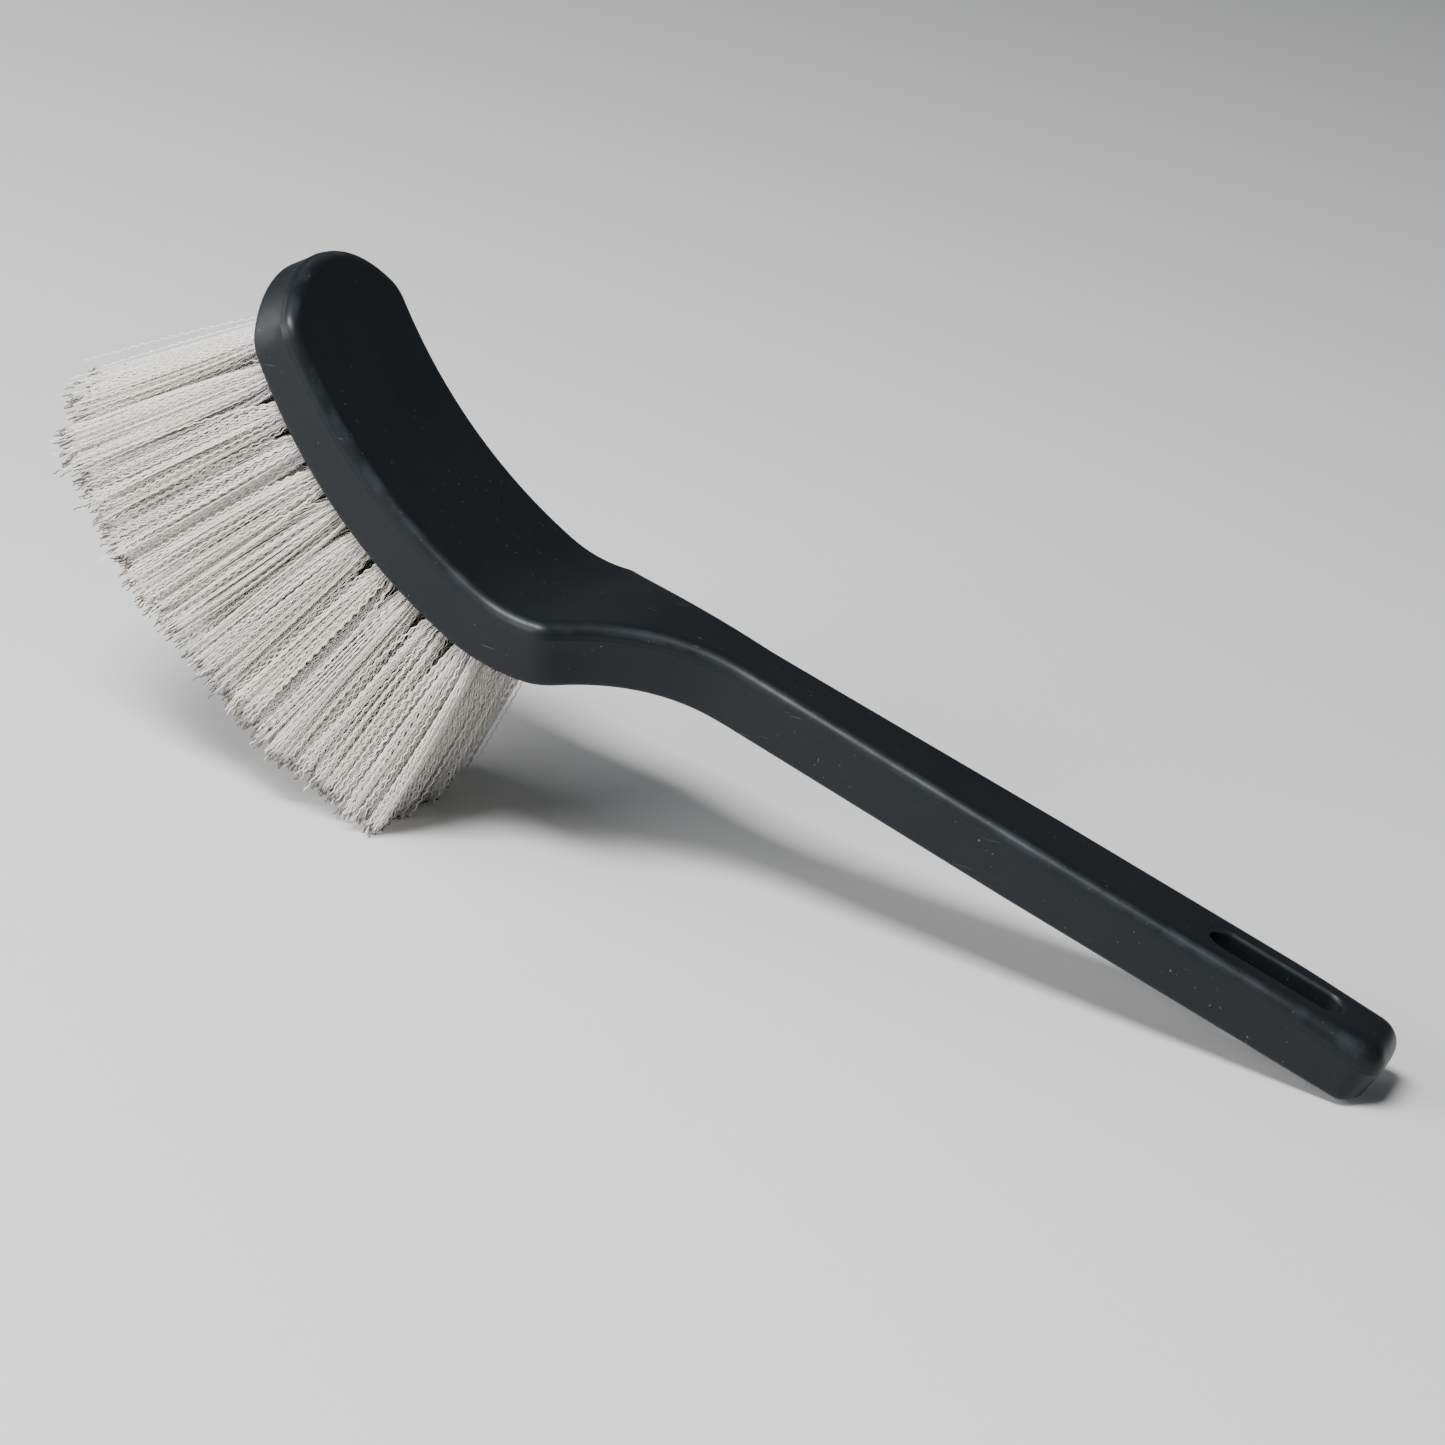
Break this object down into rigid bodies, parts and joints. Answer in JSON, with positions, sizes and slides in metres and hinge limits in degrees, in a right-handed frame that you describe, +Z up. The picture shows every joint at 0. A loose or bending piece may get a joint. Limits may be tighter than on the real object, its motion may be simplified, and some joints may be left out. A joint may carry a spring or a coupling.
{
  "type": "wheel brush",
  "caption": "Hand wheel brush with a straight grip, a swan neck and a wider hollow-backed head that carries fanned tufts of crimped bristle.",
  "frame": {"origin": "on the floor under the middle of the bounding box, with the brush standing on its heel tufts and on the end of its grip", "axes": "+X runs from the head to the end of the grip, +Y across the head, +Z up out of the head's back"},
  "size_m": [0.33, 0.059, 0.1223],
  "materials": {
    "handle_plastic": "satin",
    "bristle": "satin",
    "anchor_wire": "satin"
  },
  "bodies": {
    "root": {"handle_and_head": "handle_plastic", "anchor_staples": "anchor_wire", "tuft_row1_lane1": "bristle", "tuft_row1_lane2": "bristle", "tuft_row1_lane3": "bristle", "tuft_row1_lane4": "bristle", "tuft_row1_lane5": "bristle", "tuft_row2_lane1": "bristle", "tuft_row2_lane2": "bristle", "tuft_row2_lane3": "bristle", "tuft_row2_lane4": "bristle", "tuft_row2_lane5": "bristle", "tuft_row3_lane1": "bristle", "tuft_row3_lane2": "bristle", "tuft_row3_lane3": "bristle", "tuft_row3_lane4": "bristle", "tuft_row3_lane5": "bristle", "tuft_row4_lane1": "bristle", "tuft_row4_lane2": "bristle", "tuft_row4_lane3": "bristle", "tuft_row4_lane4": "bristle", "tuft_row4_lane5": "bristle", "tuft_row5_lane1": "bristle", "tuft_row5_lane2": "bristle", "tuft_row5_lane3": "bristle", "tuft_row5_lane4": "bristle", "tuft_row5_lane5": "bristle", "tuft_row6_lane1": "bristle", "tuft_row6_lane2": "bristle", "tuft_row6_lane3": "bristle", "tuft_row6_lane4": "bristle", "tuft_row6_lane5": "bristle", "tuft_row7_lane1": "bristle", "tuft_row7_lane2": "bristle", "tuft_row7_lane3": "bristle", "tuft_row7_lane4": "bristle", "tuft_row7_lane5": "bristle", "tuft_row8_lane1": "bristle", "tuft_row8_lane2": "bristle", "tuft_row8_lane3": "bristle", "tuft_row8_lane4": "bristle", "tuft_row8_lane5": "bristle", "tuft_row9_lane1": "bristle", "tuft_row9_lane2": "bristle", "tuft_row9_lane3": "bristle", "tuft_row9_lane4": "bristle", "tuft_row9_lane5": "bristle", "tuft_row10_lane1": "bristle", "tuft_row10_lane2": "bristle", "tuft_row10_lane3": "bristle", "tuft_row10_lane4": "bristle", "tuft_row10_lane5": "bristle", "tuft_toe1": "bristle", "tuft_toe2": "bristle", "tuft_toe3": "bristle"}
  },
  "joints": []
}
